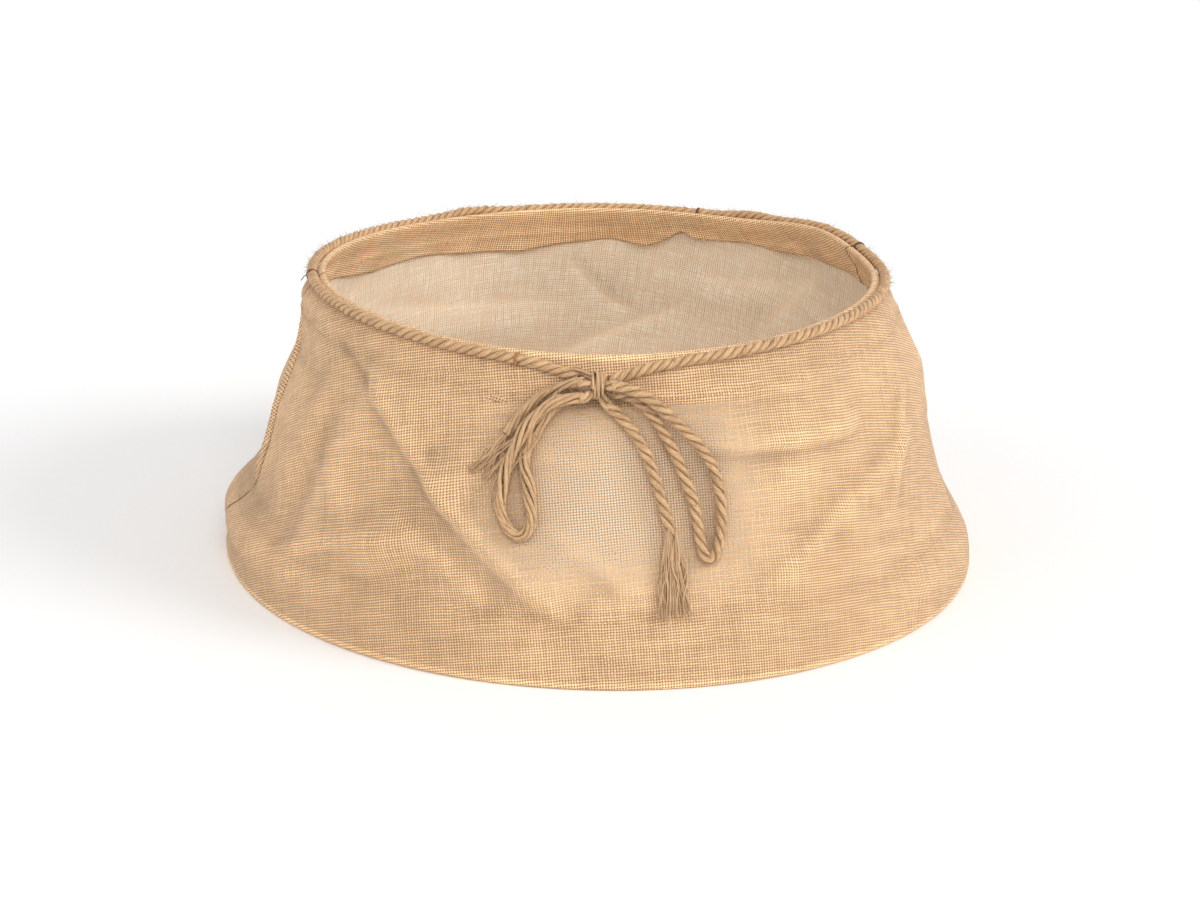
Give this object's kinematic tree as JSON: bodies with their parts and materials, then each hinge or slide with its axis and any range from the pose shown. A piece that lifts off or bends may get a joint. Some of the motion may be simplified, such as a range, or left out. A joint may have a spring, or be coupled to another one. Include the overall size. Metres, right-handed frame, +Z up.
{
  "type": "tree skirt",
  "caption": "Tapered burlap tree collar, open at top and bottom, stiffened by a hoop in each hem and tied round the neck with a jute rope bow.",
  "frame": {"origin": "middle of the round bottom hem, on the surface the collar stands on", "axes": "+Z up through the opening, the bow at the front at -Y, +X to the right as seen from the front"},
  "size_m": [0.7, 0.7, 0.265],
  "materials": {
    "burlap": "plain-weave natural jute cloth, matt",
    "jute_rope": "three-strand twisted jute, hairy",
    "frayed_jute": "loose jute fibres",
    "sewing_thread": "spun thread, matt",
    "tack_thread": "dark waxed thread",
    "spring_wire": "drawn spring wire",
    "ferrule_metal": "crimped sleeve"
  },
  "bodies": {
    "base": {"front_bottom_hem": "burlap", "back_bottom_hem": "burlap", "bottom_hem_thread": "sewing_thread", "bottom_hoop": "spring_wire", "bottom_hoop_ferrule": "ferrule_metal", "front_panel": "burlap", "back_panel": "burlap", "left_seam_allowance": "burlap", "right_seam_allowance": "burlap", "left_seam_thread": "sewing_thread", "right_seam_thread": "sewing_thread"},
    "top_ring": {"front_top_hem": "burlap", "back_top_hem": "burlap", "top_hem_thread": "sewing_thread", "top_hoop": "spring_wire", "top_hoop_ferrule": "ferrule_metal", "neck_rope": "jute_rope", "rope_tack_right": "tack_thread", "rope_tack_back": "tack_thread", "rope_tack_left": "tack_thread", "rope_tack_front": "tack_thread", "bow_knot": "jute_rope", "left_loop": "jute_rope", "right_loop": "jute_rope", "left_tail": "jute_rope", "right_tail": "jute_rope", "left_tail_fray": "frayed_jute", "right_tail_fray": "frayed_jute"}
  },
  "joints": [
    {"name": "collapse", "type": "slide", "parent": "base", "child": "top_ring", "axis": [0, 0, -1], "range_m": [0, 0.19], "deforming": ["front_panel", "back_panel", "left_seam_allowance", "right_seam_allowance", "left_seam_thread", "right_seam_thread", "left_loop", "right_loop", "left_tail", "right_tail", "left_tail_fray", "right_tail_fray"]}
  ]
}
